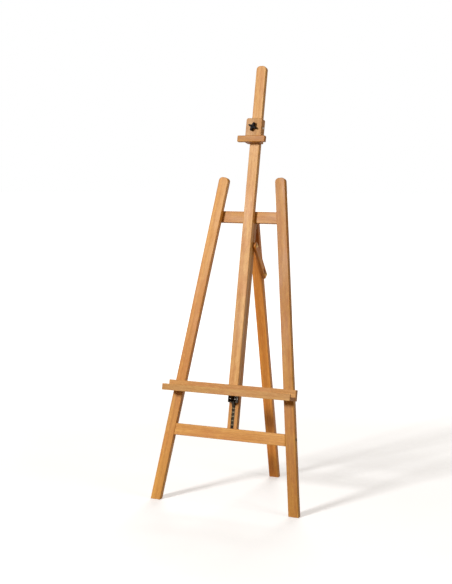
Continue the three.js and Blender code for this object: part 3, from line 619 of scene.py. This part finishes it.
def rear_leg():
    """A square-topped bar, cut level at the foot."""
    axes, half = bar_axes("rear_leg")
    outline = rounded_outline(-half.x, half.x, -half.z - SAW_WASTE, half.z, 0, 1.5 * MM, 3)
    piece("rear_leg", level_cut(prism(outline, -half.y, half.y, EDGE_ROUND), axes), axes)


def top_crossbar():
    """A bar with eased corners, across the top of the legs."""
    axes, half = bar_axes("top_crossbar", grain_hint=(1, 0, 0))
    outline = rounded_outline(-half.x, half.x, -half.z, half.z, 4 * MM, 4 * MM, 6)
    piece("top_crossbar", prism(outline, -half.y, half.y, EDGE_ROUND), axes)


def lower_crossbar():
    """The bar between the legs, its ends cut to their slope and bored for the barrel nuts."""
    axes, half = bar_axes("lower_crossbar", grain_hint=(1, 0, 0))
    leg_axes, leg_half = bar_axes("front_leg_right")
    inner_face = axes.inverted() @ (leg_axes @ Vector((-leg_half.x, 0, 0)))
    up_leg = axes.inverted().to_3x3() @ (leg_axes.to_3x3() @ Vector((0, 0, 1)))

    def reach(x):
        return inner_face.z + (x - inner_face.x) * up_leg.z / up_leg.x - FIT_GAP

    ends = [(-half.x, -reach(-half.x)), (half.x, -reach(half.x))]
    ends += [(half.x, reach(half.x)), (-half.x, reach(-half.x))]
    bar = prism(ends, -half.y, half.y, EDGE_ROUND)
    start, end = -1 * MM, 40 * MM
    tools = []
    for hand in ("left", "right"):
        at, nut_radius, _ = through_axes(f"barrel_nut_{hand}")
        radius = nut_radius + FIT_GAP
        tool = lathe([(0, start), (radius, start), (radius, end), (0, end)])
        tools.append(placed(tool, axes.inverted() @ at))
    piece("lower_crossbar", cut(bar, *tools), axes)


def through_axes(node):
    """The axes of a round piece that lies along the leaning frame's depth, with z towards the back
    and the origin at its front end, and the piece's radius and length."""
    low, high = extent(node, LEANING)
    middle = (low + high) / 2
    rotation = axes_from(LEANING.col[0].xyz, -LEANING.col[2].xyz, LEANING.col[1].xyz)
    origin = LEANING @ Vector((middle.x, low.y, middle.z))
    return Matrix.Translation(origin) @ rotation, (high.x - low.x) / 2, high.y - low.y


def centre_rail():
    """The upright from the lower crossbar to the top one, grooved down its front for the rack."""
    axes, half = bar_axes("centre_rail")
    outline = rounded_outline(-half.x, half.x, -half.z, half.z, 1.5 * MM, 0, 3)
    low, high = extent("rack", axes)
    groove = block((low.x - FIT_GAP, low.y - PAST, low.z - FIT_GAP),
                   (high.x + FIT_GAP, high.y + FIT_GAP, high.z + FIT_GAP))
    piece("centre_rail", cut(prism(outline, -half.y, half.y, EDGE_ROUND), groove), axes)


def mast():
    """The sliding upright, with a round top."""
    axes, half = bar_axes("mast")
    outline = rounded_outline(-half.x, half.x, -half.z, half.z, 0, TOP_ROUND)
    piece("mast", prism(outline, -half.y, half.y, EDGE_ROUND), axes)


def tray():
    """The tray's three strips: its back board, its shelf and its front lip."""
    for node in ("tray_board", "tray_shelf", "tray_lip"):
        axes, half = bar_axes(node, grain_hint=(1, 0, 0))
        outline = rounded_outline(-half.x, half.x, -half.z, half.z, 2 * MM, 2 * MM, 4)
        piece(node, prism(outline, -half.y, half.y, STRIP_ROUND, 3), axes)


def stay():
    """A flat bar with a round hole at its pivot and a slot for the rear leg's peg."""
    axes, half = bar_axes("stay", depth_hint=(1, 0, 0))
    pivot = axes.inverted() @ Vector(JOINTS["stay_swing"]["pos_m"])
    peg = axes.inverted() @ turned_axes("stay_peg")[0].translation
    outline = rounded_outline(-half.x, half.x, -half.z, half.z, 4 * MM, half.x)
    plate = prism(outline, -half.y, half.y, STAY_ROUND)
    hole = rounded_outline(-BOLT_BORE, BOLT_BORE, pivot.z - BOLT_BORE, pivot.z + BOLT_BORE,
                           BOLT_BORE, BOLT_BORE, 8)
    slot = rounded_outline(-STAY_SLOT, STAY_SLOT, peg.z - BOLT_BORE, slot_top(axes, pivot.z),
                           STAY_SLOT, STAY_SLOT, 8)
    cutters = [prism(shape, -half.y - PAST, half.y + PAST) for shape in (hole, slot)]
    piece("stay", cut(plate, *cutters), axes)


def slot_top(axes, pivot_height):
    """The slot's upper end: the highest vertex of the CAD stay that is near its middle line and well
    below the pivot's hole."""
    inverse = np.array(axes.inverted())
    local = points_of("stay") @ inverse[:3, :3].T + inverse[:3, 3]
    near = np.abs(local[:, 0]) < STAY_SLOT + 0.1 * MM
    below = local[:, 2] < pivot_height - 8 * MM
    return float(local[near & below, 2].max())


def rail_dowel():
    """A plain dowel with chamfered ends."""
    axes, sizes = turned_axes("rail_dowel")
    piece("rail_dowel", lathe(eased_profile(sizes["radius"], 0, sizes["length"], 1.2 * MM)), axes)


# ------------------------------------------------------------------ canvas clamp
def clamp_block():
    """The block that slides on the mast: channelled for the mast, slotted for its strap, and bored."""
    low, high = extent("clamp_block", LEANING)
    mast_low, mast_high = extent("mast", LEANING)
    strap_low, strap_high = extent("clamp_stirrup", LEANING)
    outline = rounded_outline(low.x, high.x, low.z, high.z, 3 * MM, 9 * MM)
    body = prism(outline, low.y, high.y, BLOCK_ROUND)
    slide_gap = 0.4 * MM
    channel = block((mast_low.x - slide_gap, mast_low.y - slide_gap, low.z - PAST),
                    (mast_high.x + slide_gap, high.y + PAST, high.z + PAST))
    slots = []
    for left, right in ((strap_low.x, strap_low.x + STRAP), (strap_high.x - STRAP, strap_high.x)):
        slots.append(block((left - FIT_GAP, strap_low.y - FIT_GAP, strap_low.z - FIT_GAP),
                           (right + FIT_GAP, high.y + PAST, strap_high.z + FIT_GAP)))
    axis = LEANING.inverted() @ Vector(JOINTS["clamp_knob_turn"]["pos_m"])
    hole = rounded_outline(axis.x - KNOB_BORE, axis.x + KNOB_BORE, axis.z - KNOB_BORE,
                           axis.z + KNOB_BORE, KNOB_BORE, KNOB_BORE, 8)
    tools = [channel, *slots, prism(hole, low.y - PAST, mast_low.y + FIT_GAP)]
    foot = Matrix.Translation(((low.x + high.x) / 2, 0, low.z))
    piece("clamp_block", placed(cut(body, *tools), foot.inverted()), LEANING @ foot)


def clamp_ledge():
    """The short bar that holds the canvas down."""
    axes, half = bar_axes("clamp_ledge", grain_hint=(1, 0, 0))
    outline = rounded_outline(-half.x, half.x, -half.z, half.z, 3 * MM, 3 * MM, 6)
    piece("clamp_ledge", prism(outline, -half.y, half.y, EDGE_ROUND), axes)


def clamp_knob():
    """Four pointed lobes and a hub, with soft moulded edges and a shallow dish in the middle."""
    joint = JOINTS["clamp_knob_turn"]
    outward = Vector(joint["axis"]).normalized()
    axes = axes_from((1, 0, 0), outward.cross(Vector((1, 0, 0))), outward, joint["pos_m"])
    inverse = np.array(axes.inverted())
    local = points_of("clamp_knob") @ inverse[:3, :3].T + inverse[:3, 3]
    away = np.hypot(local[:, 0], local[:, 1])
    farthest = local[away.argmax()]
    phase = math.atan2(farthest[1], farthest[0])
    tip = float(away.max())
    front = float(local[:, 2].max())
    back = float(local[away > 0.9 * tip, 2].min()) - 2 * MM
    hub_back = float(local[:, 2].min())
    lobe_depth, lobe_point = 5.1 * MM, 1 * MM
    soft_front, soft_back = 2.6 * MM, 1.6 * MM
    hub, hub_ease, hub_sunk = 7.5 * MM, 0.6 * MM, 3 * MM
    dish, dish_depth = 4.6 * MM, 1.1 * MM
    steps = 128

    def star(inset, z):
        loop = []
        for i in range(steps):
            angle = 2 * math.pi * i / steps
            lobes = lobe_depth * (math.cos(4 * (angle - phase)) - 1)
            points = lobe_point * (math.cos(8 * (angle - phase)) - 1)
            radius = tip + lobes + points - inset
            loop.append((radius * math.cos(angle), radius * math.sin(angle), z))
        return loop

    def ease(radius, z, way):
        count = 5
        turns = [math.pi / 2 * i / count for i in range(count + 1)]
        return [star(radius * (1 - math.sin(a)), z + way * radius * (1 - math.cos(a))) for a in turns]

    straight = front - back - soft_back - soft_front
    loops = ease(soft_back, back, 1)
    loops += [star(0, back + soft_back + straight * k / 3) for k in (1, 2)]
    loops += ease(soft_front, front, -1)[::-1]
    boss = lathe([(0, hub_back), (hub - hub_ease, hub_back), (hub, hub_back + hub_ease),
                  (hub, back + hub_sunk), (0, back + hub_sunk)])
    tool = lathe([(0, front - dish_depth), (dish - 1 * MM, front - dish_depth), (dish, front - 0.5 * MM),
                  (dish + 0.4 * MM, front + 2 * MM), (0, front + 2 * MM)])
    piece("clamp_knob", cut(join(loft(loops), boss), tool), axes, crease=50)


def thread_profile(length, radius, pitch, depth):
    """The saw-toothed profile of a thread or of ribs, from z 0 up."""
    profile = []
    for k in range(int(length / pitch)):
        profile += [(radius - depth, k * pitch), (radius, (k + 0.5) * pitch)]
    return profile


def knob_stud():
    """The knob's threaded stud, narrowed at its end."""
    axes, sizes = turned_axes("knob_stud")
    radius, length = sizes["radius"], sizes["length"]
    pitch, depth = 1 * MM, 0.45 * MM
    thread = thread_profile(length - pitch, radius, pitch, depth)
    piece("knob_stud", lathe([(0, 0), *thread, (radius - 0.5 * MM, length), (0, length)], 24), axes)


def pressure_pad():
    """The soft disc that the stud presses on the mast."""
    axes, sizes = turned_axes("pressure_pad")
    piece("pressure_pad", lathe(eased_profile(sizes["radius"], 0, sizes["length"], 0.5 * MM)), axes)


def clamp_insert():
    """The ribbed, threaded insert that the knob's stud turns in."""
    axes, radius, length = through_axes("clamp_insert")
    pitch, depth, end_ease = 2 * MM, 0.6 * MM, 0.4 * MM
    ribs = thread_profile(length - pitch / 2, radius, pitch, depth)
    profile = [(BOLT_BORE, 0), *ribs, (radius - end_ease, length), (BOLT_BORE, length)]
    piece("clamp_insert", lathe(profile, 32), axes)


def strap_path(x0, x1, y0, y1, radius):
    """A U open towards -y, from its left end round the back to its right end."""
    steps = 6
    path = [(x0, y0)]
    for centre, start in ((x0 + radius, 180), (x1 - radius, 90)):
        for i in range(steps + 1):
            angle = math.radians(start - 90 * i / steps)
            path.append((centre + radius * math.cos(angle), y1 - radius + radius * math.sin(angle)))
    path.append((x1, y0))
    return path


def bent_strap(node):
    """A U-shaped strap bent from flat strip."""
    low, high = extent(node, LEANING)
    outer = strap_path(low.x, high.x, low.y, high.y, STRAP_BEND)
    inner = strap_path(low.x + STRAP, high.x - STRAP, low.y, high.y - STRAP, STRAP_BEND - STRAP)
    bm = bmesh.new()
    loops = []
    for z in (low.z, high.z):
        loops.append([bm.verts.new((x, y, z)) for x, y in outer + inner[::-1]])
    count = len(loops[0])
    half = count // 2
    for i in range(count):
        j = (i + 1) % count
        bm.faces.new((loops[0][i], loops[0][j], loops[1][j], loops[1][i]))
    for loop in loops:
        for i in range(half - 1):
            bm.faces.new((loop[i], loop[i + 1], loop[count - 2 - i], loop[count - 1 - i]))
    soften(bm, METAL_ROUND, 2, 40)
    centre = Matrix.Translation((low + high) / 2)
    piece(node, placed(bm, centre.inverted()), LEANING @ centre)


# ------------------------------------------------------------------ ratchet
def cut_metal(node, axes, round_width, crease=35, rubbed=never):
    """A cut or cast metal piece: the CAD shape with its edges eased."""
    low, high = extent(node, axes)
    centred = axes @ Matrix.Translation((low + high) / 2)
    piece(node, soften(copy_of(node, centred), round_width), centred, crease, rubbed)


def ratchet():
    """The rack, its teeth rubbed bright at their tips, and the pawl in its housing."""
    low, high = extent("rack", LEANING)
    tips = (low.y - high.y) / 2 + 0.2 * MM
    cut_metal("rack", LEANING, METAL_EDGE, rubbed=lambda face: face.center.y < tips)
    cut_metal("ratchet_housing", LEANING, 0.45 * MM)
    cut_metal("ratchet_pawl", LEANING, METAL_EDGE, crease=50)


def pawl_pin():
    """A pin with a domed rivet head at each end."""
    axes, sizes = turned_axes("pawl_pin")
    radius, length = sizes["radius"], sizes["length"]
    head, rise = radius + 0.9 * MM, 1.2 * MM
    dome = [(head * math.cos(a), rise * (1 - math.sin(a))) for a in (1.2, 0.8, 0.4, 0)]
    low_end = [(0, 0), *dome, (radius, rise + 0.1 * MM)]
    high_end = [(r, length - z) for r, z in low_end[::-1]]
    piece("pawl_pin", lathe(low_end + high_end, 32), axes, crease=50)


def pawl_spring():
    """A torsion spring on the pawl's pin, with one leg under the housing and one along the pawl."""
    low, high = extent("pawl_spring", LEANING)
    middle = (low + high) / 2
    wire = 0.45 * MM
    coil = (high.y - low.y) / 2 - wire
    width = high.x - low.x - 2 * wire
    turns = 7
    steps = 26
    path = []
    for i in range(turns * steps + 1):
        angle = 2 * math.pi * i / steps
        x = low.x + wire + width * i / (turns * steps)
        path.append((x - middle.x, coil * math.cos(angle), coil * math.sin(angle)))
    first_x, last_x = path[0][0], path[-1][0]
    up_leg = [(first_x, coil, 7 * MM), (first_x, coil, 3.5 * MM)]
    down_leg = [(last_x, coil, -3.5 * MM), (last_x, coil, -8 * MM)]
    spring = sweep(up_leg + path + down_leg, wire)
    piece("pawl_spring", spring, LEANING @ Matrix.Translation(middle), crease=60)


# ------------------------------------------------------------------ hinge
def hinge_leaf(node, body_axes, up):
    """A leaf with rounded corners and its rolled knuckles, from the CAD leaf's extent."""
    low, high = extent(node, body_axes)
    pin_low, pin_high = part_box("hinge_pin")
    pin_radius = (pin_high.z - pin_low.z) / 2
    third = (high.x - low.x) / 3
    free_end = high.z if up > 0 else low.z
    z0, z1 = sorted((up * 1.0 * MM, free_end))
    corner = 3 * MM
    corners = (0, corner) if up > 0 else (corner, 0)
    outline = rounded_outline(low.x, high.x, z0, z1, *corners, 6)
    plate = prism(outline, low.y, low.y + LEAF, METAL_EDGE, 2)
    if up > 0:
        knuckles = [(low.x, low.x + third - FIT_GAP), (high.x - third + FIT_GAP, high.x)]
        gaps = [(low.x + third, high.x - third)]
    else:
        knuckles = [(low.x + third, high.x - third)]
        gaps = [(low.x - 1 * MM, low.x + third), (high.x - third, high.x + 1 * MM)]
    along_x = Matrix.Rotation(math.pi / 2, 4, "Y")

    def roll(x0, x1, radius):
        return placed(lathe(eased_profile(radius, x0, x1, 0.25 * MM), 36), along_x)

    notches = [roll(x0 - FIT_GAP, x1 + FIT_GAP, KNUCKLE + 0.8 * MM) for x0, x1 in gaps]
    bore = roll(low.x - PAST, high.x + PAST, pin_radius + 0.1 * MM)
    rolled = join(plate, *[roll(x0, x1, KNUCKLE) for x0, x1 in knuckles])
    piece(node, cut(rolled, *notches, bore), body_axes)


def hinge_pin():
    """A plain pin with a shallow dome at each end."""
    axes, sizes = turned_axes("hinge_pin")
    radius, length = sizes["radius"], sizes["length"]
    dome, rim, shoulder = 0.7 * MM, 0.1 * MM, 0.7 * radius
    low_end = [(0, -dome), (shoulder, -dome * 0.6), (radius, rim)]
    high_end = [(r, length - z) for r, z in low_end[::-1]]
    piece("hinge_pin", lathe(low_end + high_end, 24), axes)


def hinge():
    """A butt hinge: one leaf on the frame, one on the rear leg, and the pin."""
    pivot = Vector(JOINTS["rear_leg_fold"]["pos_m"])
    on_frame = Matrix.Translation(pivot) @ LEANING.to_3x3().to_4x4()
    leg_axes, _ = bar_axes("rear_leg")
    on_leg = Matrix.Translation(pivot) @ leg_axes.to_3x3().to_4x4()
    hinge_leaf("hinge_leaf_frame", on_frame, 1)
    hinge_leaf("hinge_leaf_leg", on_leg, -1)
    hinge_pin()


# ------------------------------------------------------------------ screws, bolts and washers
def cross_recess(radius, top):
    """A tapered cross, as a driver bites it, from inside the head up past its top."""
    def plus(reach, half, z):
        corners = [(half, half), (half, reach), (-half, reach)]
        loop = []
        for _ in range(4):
            loop += [(x, y, z) for x, y in corners]
            corners = [(-y, x) for x, y in corners]
        return loop

    return loft([plus(0.16 * radius, 0.05 * radius, top - 0.42 * radius),
                 plus(0.62 * radius, 0.13 * radius, top + 0.02 * radius),
                 plus(0.66 * radius, 0.14 * radius, top + 0.5 * radius)])


def hex_recess(radius, top):
    """A hexagonal socket, from inside the head up past its top."""
    corner = 0.52 * radius
    turns = [math.pi / 3 * i for i in range(6)]

    def hexagon(reach, z):
        return [(reach * math.cos(a), reach * math.sin(a), z) for a in turns]

    return loft([hexagon(corner * 0.96, top - 0.34 * radius), hexagon(corner, top + 0.5 * radius)])


def fastener(node, recess, squareness=0.45):
    """A screw or bolt with a domed head and a driver's recess, from the CAD screw's own sizes."""
    axes, sizes = turned_axes(node)
    head, seat, length, shank = sizes["radius"], sizes["seat"], sizes["length"], sizes["shank"]
    height = length - seat
    ease = min(0.25 * MM, height * 0.15)
    profile = [(0, 0), (shank * 0.5, shank * 0.7), (shank, shank * 1.5), (shank, seat), (head - ease, seat)]
    for i in range(9):
        angle = math.pi / 2 * i / 8
        radius = head * math.cos(angle) ** squareness
        profile.append((radius, seat + ease + (height - ease) * math.sin(angle)))
    profile[-1] = (0, length)
    solid = cut(lathe(profile, 36), recess(head, length))
    spin = random.Random(node).uniform(0, math.pi)
    piece(node, solid, axes @ Matrix.Rotation(spin, 4, "Z"), crease=40)


def washer(node):
    """A flat ring with its outer edges chamfered."""
    axes, sizes = turned_axes(node)
    piece(node, lathe(eased_profile(sizes["radius"], 0, sizes["length"], 0.2 * MM, BOLT_BORE)), axes)


def barrel_nut(hand):
    """A cross dowel: slotted at the back, and bored across for its bolt."""
    node = f"barrel_nut_{hand}"
    axes, radius, length = through_axes(node)
    slot_half, slot_depth = 0.6 * MM, 1.3 * MM
    nut = lathe(eased_profile(radius, 0, length, 0.4 * MM), 32)
    slot = block((-2 * radius, -slot_half, length - slot_depth), (2 * radius, slot_half, length + PAST))
    bolt = axes.inverted() @ turned_axes(f"crossbar_bolt_{hand}")[0].translation
    bore = lathe([(0, -PAST), (BOLT_BORE, -PAST), (BOLT_BORE, PAST), (0, PAST)], 24)
    across = Matrix.Translation((0, 0, bolt.z)) @ Matrix.Rotation(math.pi / 2, 4, "Y")
    piece(node, cut(nut, slot, placed(bore, across)), axes)


def fasteners():
    """Every screw, bolt, washer and barrel nut."""
    for node in sorted(frame["nodes"]):
        if "screw" in node:
            fastener(node, cross_recess)
    for node in ("crossbar_bolt_left", "crossbar_bolt_right", "stay_pivot_bolt", "stay_peg"):
        fastener(node, hex_recess, 0.3)
    for node in ("stay_washer", "peg_washer"):
        washer(node)
    for hand in ("left", "right"):
        barrel_nut(hand)


front_legs()
rear_leg()
top_crossbar()
lower_crossbar()
centre_rail()
mast()
tray()
stay()
rail_dowel()
clamp_block()
clamp_ledge()
clamp_knob()
knob_stud()
pressure_pad()
clamp_insert()
bent_strap("clamp_stirrup")
bent_strap("mast_yoke")
ratchet()
pawl_pin()
pawl_spring()
hinge()
fasteners()


# ------------------------------------------------------------------ floor, light and camera
def floor():
    """A round pale floor, wide enough to reach the horizon in every view. It lights no other piece."""
    bm = bmesh.new()
    bmesh.ops.create_circle(bm, cap_ends=True, radius=60, segments=96)
    ground = bpy.data.objects.new("floor", mesh_of(bm, "floor"))
    ground.location.z = -0.5 * MM
    ground.visible_diffuse = False
    bpy.context.scene.collection.objects.link(ground)
    n = Nodes("pale_floor")
    place = n.add("TexCoord").outputs["Object"]
    patches = n.noise(n.stretch(place, (1.5, 1.5, 1.5)), 2)
    away = n.add("VectorMath", {0: place}, operation="LENGTH").outputs["Value"]
    near, far = 1.0, 6.0
    glow = n.ramp(away, near, far, 0.30, 1.0)
    pale = n.mix(n.ramp(patches, 0.3, 0.7), rgba(0.80, 0.80, 0.795), rgba(0.82, 0.82, 0.82))
    ground.data.materials.append(n.set(
        Base_Color=pale, Roughness=0.9, Specular_IOR_Level=0.1,
        Emission_Color=rgba(1, 1, 1), Emission_Strength=glow))


def towards(azimuth, elevation):
    """A direction from the easel: azimuth 0 is in front of it, and 90 is at its right."""
    a, e = math.radians(azimuth), math.radians(elevation)
    return Vector((math.sin(a) * math.cos(e), -math.cos(a) * math.cos(e), math.sin(e)))


def lamp(name, azimuth, elevation, distance, size, power):
    """A square soft box that faces the middle of the easel."""
    direction = towards(azimuth, elevation)
    data = bpy.data.lights.new(name, "AREA")
    data.energy = power
    data.size = size
    light = bpy.data.objects.new(name, data)
    light.rotation_mode = "QUATERNION"
    light.rotation_quaternion = direction.to_track_quat("Z", "Y")
    light.location = Vector((0, 0, 1)) + direction * distance
    bpy.context.scene.collection.objects.link(light)


def studio():
    """A white background, a dim warm light from all round and three soft lamps, the key the strongest."""
    world = bpy.data.worlds.new("studio")
    world.use_nodes = True
    tree = world.node_tree
    room = tree.nodes["Background"]
    room.inputs["Color"].default_value = rgba(1.0, 0.84, 0.68)
    room.inputs["Strength"].default_value = 0.25
    backdrop = tree.nodes.new("ShaderNodeBackground")
    backdrop.inputs["Color"].default_value = rgba(1, 1, 1)
    seen = tree.nodes.new("ShaderNodeLightPath")
    mix = tree.nodes.new("ShaderNodeMixShader")
    tree.links.new(seen.outputs["Is Camera Ray"], mix.inputs[0])
    tree.links.new(room.outputs[0], mix.inputs[1])
    tree.links.new(backdrop.outputs[0], mix.inputs[2])
    tree.links.new(mix.outputs[0], tree.nodes["World Output"].inputs["Surface"])
    bpy.context.scene.world = world
    bpy.context.scene.view_settings.view_transform = "Standard"
    lamp("key", azimuth=-21, elevation=21, distance=8.0, size=1.3, power=590)
    lamp("side", azimuth=78, elevation=20, distance=6.0, size=2.5, power=72)
    lamp("back", azimuth=195, elevation=38, distance=6.0, size=2.5, power=150)


def camera():
    """The photograph's viewpoint: a long lens from the easel's right, a little above its middle."""
    azimuth, elevation, roll = 24.67, 5.94, 0.25
    distance = 4.981
    aim = Vector((0.0128, FLOOR_EDGE.y, 0.9173))
    data = bpy.data.cameras.new("camera")
    data.sensor_width = 36
    data.lens = 74.22
    back = towards(azimuth, elevation)
    view = bpy.data.objects.new("camera", data)
    view.location = aim + back * distance
    turn = (-back).to_track_quat("-Z", "Y")
    view.rotation_mode = "QUATERNION"
    view.rotation_quaternion = turn @ Matrix.Rotation(math.radians(roll), 4, "Z").to_quaternion()
    bpy.context.scene.collection.objects.link(view)
    bpy.context.scene.camera = view


floor()
studio()
camera()
